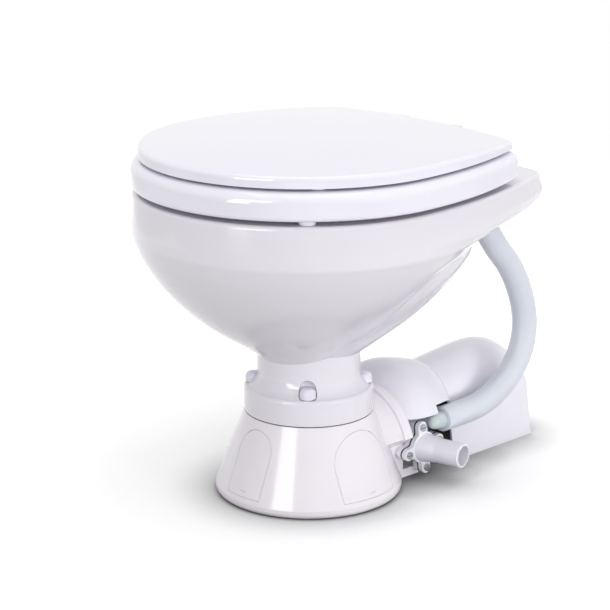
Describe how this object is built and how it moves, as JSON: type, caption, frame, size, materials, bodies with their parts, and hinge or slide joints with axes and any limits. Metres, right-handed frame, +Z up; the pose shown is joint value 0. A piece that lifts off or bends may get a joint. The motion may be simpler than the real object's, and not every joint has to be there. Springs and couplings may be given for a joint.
{
  "type": "marine toilet",
  "caption": "Compact electric marine toilet: china bowl on a cone base with a macerator pump and motor under a cover, flush hose, angled discharge port, hinged seat and lid.",
  "frame": {"origin": "centre of the round foot on the floor, between the two side floor bolts", "axes": "+Z up, -Y towards the front of the bowl, +Y towards the hinges and the motor, +X towards the discharge port and the flush hose"},
  "size_m": [0.343, 0.4721, 0.372],
  "materials": {
    "china": "glossy glaze",
    "moulded_base": "glossy moulding",
    "moulded_cover": "glossy moulding",
    "white_caps": "satin moulding",
    "white_fittings": "satin moulding",
    "pump_housing": "satin glass-filled moulding",
    "hose": "semi-matte flexible hose",
    "rubber": "matte",
    "stainless": "satin",
    "cast_alloy": "as cast",
    "motor_paint": "satin paint",
    "ferrite": "matte sintered",
    "carbon": "matte",
    "laminations": "matte",
    "copper": "bright",
    "brush_ring": "matte moulding",
    "impeller_plastic": "matte moulding",
    "seat_enamel": "glossy enamel",
    "clear_bumpers": "soft translucent",
    "hinge_plastic": "satin moulding"
  },
  "bodies": {
    "toilet": {"base_housing": "moulded_base", "access_panels": "moulded_base", "bowl_gasket": "rubber", "bowl": "china", "bowl_bolts": "stainless", "bowl_washers": "stainless", "bowl_nuts": "stainless", "bowl_nut_caps": "white_caps", "inlet_grommet": "rubber", "inlet_elbow": "white_fittings", "flush_hose": "hose", "hose_clamp": "stainless", "macerator_housing": "pump_housing", "wear_plate": "stainless", "housing_seals": "rubber", "discharge_housing": "white_fittings", "joker_valve": "rubber", "discharge_port": "white_fittings", "port_screws": "stainless", "rinse_pump_body": "pump_housing", "rinse_wear_plate": "stainless", "rinse_outlet_elbow": "pump_housing", "rinse_inlet_port": "pump_housing", "pump_tie_screws": "stainless", "shaft_seals": "rubber", "motor_front_plate": "cast_alloy", "motor_can": "motor_paint", "motor_end_bell": "cast_alloy", "motor_bearings": "stainless", "motor_magnets": "ferrite", "motor_brushes": "carbon", "brush_ring": "brush_ring", "motor_through_bolts": "stainless", "motor_saddle": "rubber", "motor_cover": "moulded_cover", "lead_gland": "rubber", "hinge_posts": "hinge_plastic", "hinge_pins": "stainless", "hinge_bolts": "hinge_plastic", "hinge_washers": "hinge_plastic", "hinge_nuts": "hinge_plastic"},
    "rotor": {"motor_shaft": "stainless", "armature": "laminations", "armature_windings": "copper", "commutator": "copper", "chopper_plate": "stainless", "waste_impeller": "impeller_plastic", "rinse_impeller": "rubber"},
    "seat_body": {"seat": "seat_enamel", "seat_bumpers": "clear_bumpers"},
    "lid_body": {"lid": "seat_enamel", "lid_bumpers": "clear_bumpers"}
  },
  "joints": [
    {"name": "motor_spin", "type": "hinge", "parent": "toilet", "child": "rotor", "pos_m": [0, 0.2, 0.052], "axis": [0, 1, 0], "continuous": true},
    {"name": "seat_hinge", "type": "hinge", "parent": "toilet", "child": "seat_body", "pos_m": [0, 0.21382, 0.338], "axis": [-1, 0, 0], "range_deg": [0, 95]},
    {"name": "lid_hinge", "type": "hinge", "parent": "seat_body", "child": "lid_body", "pos_m": [0, 0.21382, 0.338], "axis": [-1, 0, 0], "range_deg": [0, 95]}
  ]
}
